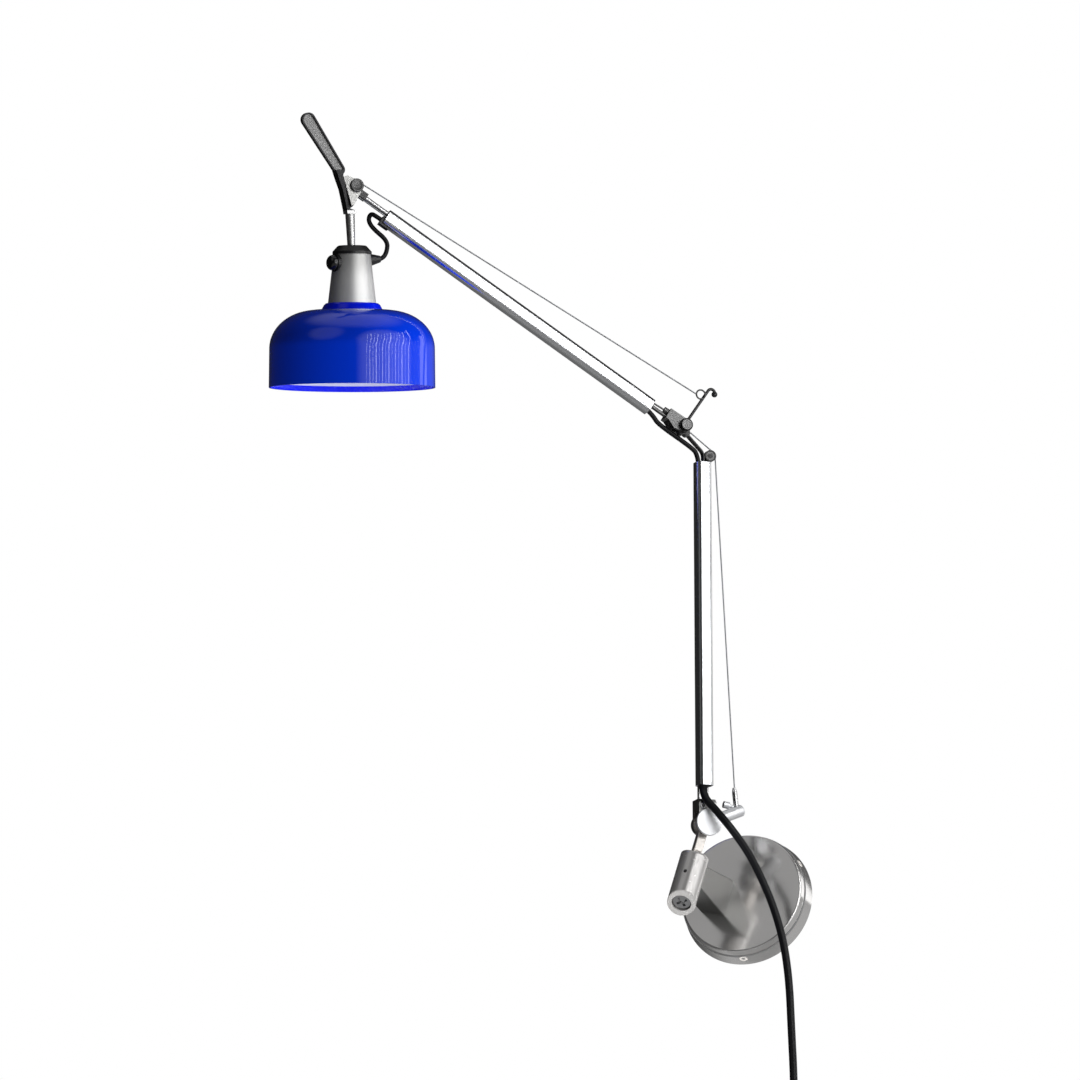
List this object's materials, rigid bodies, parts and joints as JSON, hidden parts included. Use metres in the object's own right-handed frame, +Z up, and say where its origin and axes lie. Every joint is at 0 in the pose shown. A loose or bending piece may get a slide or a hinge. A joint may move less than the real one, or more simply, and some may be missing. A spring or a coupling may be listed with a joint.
{
  "type": "articulating wall lamp",
  "caption": "Wall lamp with a round canopy, a swivel, two tube arms balanced by steel cables and springs, and a tilting dome shade with a push switch.",
  "frame": {"origin": "centre of the wall plate's back face, on the wall, midway between its two screw slots", "axes": "+Z up, +X to the right and -Y out into the room for someone who faces the wall; the wall is the plane Y = 0"},
  "size_m": [0.3983, 0.4507, 0.9376],
  "materials": {
    "polished_alu": "polished, mirror-like",
    "satin_alu": "satin",
    "steel": "bright",
    "steel_cable": "fine strands",
    "black_metal": "black, half gloss",
    "blue_paint": "high gloss",
    "black_plastic": "fine matt",
    "black_button": "gloss",
    "black_lead": "soft sheen",
    "opal_glass": "opal",
    "zinc_steel": "pressed, plain"
  },
  "bodies": {
    "wall_mount": {"canopy": "polished_alu", "canopy_screws": "steel", "wall_plate": "zinc_steel", "stiffener_plate": "zinc_steel", "support_block": "satin_alu", "support_screws": "steel", "swivel_barrel": "polished_alu", "barrel_end_screw": "steel", "barrel_grub_screw": "steel", "mains_lead": "black_lead", "mains_coil": "black_lead", "mains_plug": "black_plastic"},
    "swivel": {"pivot_post": "black_metal", "cable_bracket": "satin_alu", "bracket_screw": "steel", "cable_ferrule": "steel"},
    "lower_arm": {"base_fork": "black_metal", "base_axle": "steel", "tilt_disc": "satin_alu", "fork_screw": "steel", "arm_rods": "steel", "lower_tube": "polished_alu", "lower_foot_plug": "black_plastic", "lower_top_plug": "black_plastic", "lower_spring": "steel", "elbow_rods": "steel", "elbow_eye": "black_metal", "cable_hook": "black_metal", "pulley_arm": "black_metal", "lower_cable": "steel_cable", "neck_lead": "black_lead"},
    "lower_wheel": {"lower_pulley": "black_plastic"},
    "upper_arm": {"elbow_cheeks": "black_metal", "elbow_axle": "steel", "elbow_knob": "satin_alu", "fork_rods": "black_metal", "upper_tube": "polished_alu", "upper_foot_plug": "black_plastic", "upper_end_plug": "black_plastic", "upper_spring": "steel", "head_rods": "black_metal", "head_yoke": "black_metal", "head_axle": "black_metal", "upper_cable": "steel_cable", "elbow_lead": "black_lead", "head_lead": "black_lead"},
    "head_wheel": {"head_pulley": "black_plastic"},
    "head_clutch": {"roll_bracket": "satin_alu", "roll_pin": "steel"},
    "head": {"lever_stem": "satin_alu", "holder_cap": "black_plastic", "neck_cover": "satin_alu", "shade": "blue_paint", "lamp_holder": "black_plastic", "shade_ring": "blue_paint", "holder_nut": "black_plastic", "lamp": "opal_glass", "switch_bezel": "black_plastic", "lead_gland": "black_plastic"},
    "button": {"switch_button": "black_button"}
  },
  "joints": [
    {"name": "swivel_turn", "type": "hinge", "parent": "wall_mount", "child": "swivel", "pos_m": [-0.02057, -0.0985, 0.00625], "axis": [0.2907, 0, 0.9568], "range_deg": [-28, 120], "deforming": ["mains_lead"]},
    {"name": "lower_arm_tilt", "type": "hinge", "parent": "swivel", "child": "lower_arm", "pos_m": [-0.01066, -0.0985, 0.03888], "axis": [0.5956, -0.7826, -0.181], "range_deg": [-18, 62], "deforming": ["lower_cable", "neck_lead"]},
    {"name": "elbow_fold", "type": "hinge", "parent": "lower_arm", "child": "upper_arm", "pos_m": [-0.00554, -0.17645, 0.39283], "axis": [0.5956, -0.7826, -0.181], "range_deg": [-50, 60], "deforming": ["upper_cable", "elbow_lead"]},
    {"name": "head_tilt", "type": "hinge", "parent": "upper_arm", "child": "head_clutch", "pos_m": [-0.24372, -0.39774, 0.5659], "axis": [0.5956, -0.7826, -0.181], "range_deg": [-90, 15], "deforming": ["head_lead"]},
    {"name": "head_roll", "type": "hinge", "parent": "head_clutch", "child": "head", "pos_m": [-0.24372, -0.39774, 0.5659], "axis": [-0.7852, -0.5197, -0.3368], "range_deg": [-60, 75], "deforming": ["head_lead"]},
    {"name": "switch_press", "type": "slide", "parent": "head", "child": "button", "axis": [0.6363, 0.7465, 0.1945], "range_m": [0, 0.002], "stiffness_N_per_m": 600},
    {"name": "lower_pulley_turn", "type": "hinge", "parent": "lower_arm", "child": "lower_wheel", "pos_m": [0.01367, -0.15649, 0.36973], "axis": [0.5956, -0.7826, -0.181], "range_deg": [-364, 112]},
    {"name": "head_pulley_turn", "type": "hinge", "parent": "upper_arm", "child": "head_wheel", "pos_m": [-0.24372, -0.39774, 0.5659], "axis": [0.5956, -0.7826, -0.181], "range_deg": [-390, 325]}
  ],
  "couplings": [
    {"joint": "lower_pulley_turn", "follows": "lower_arm_tilt", "ratio": -5.8},
    {"joint": "head_pulley_turn", "follows": "elbow_fold", "ratio": -6.4}
  ]
}
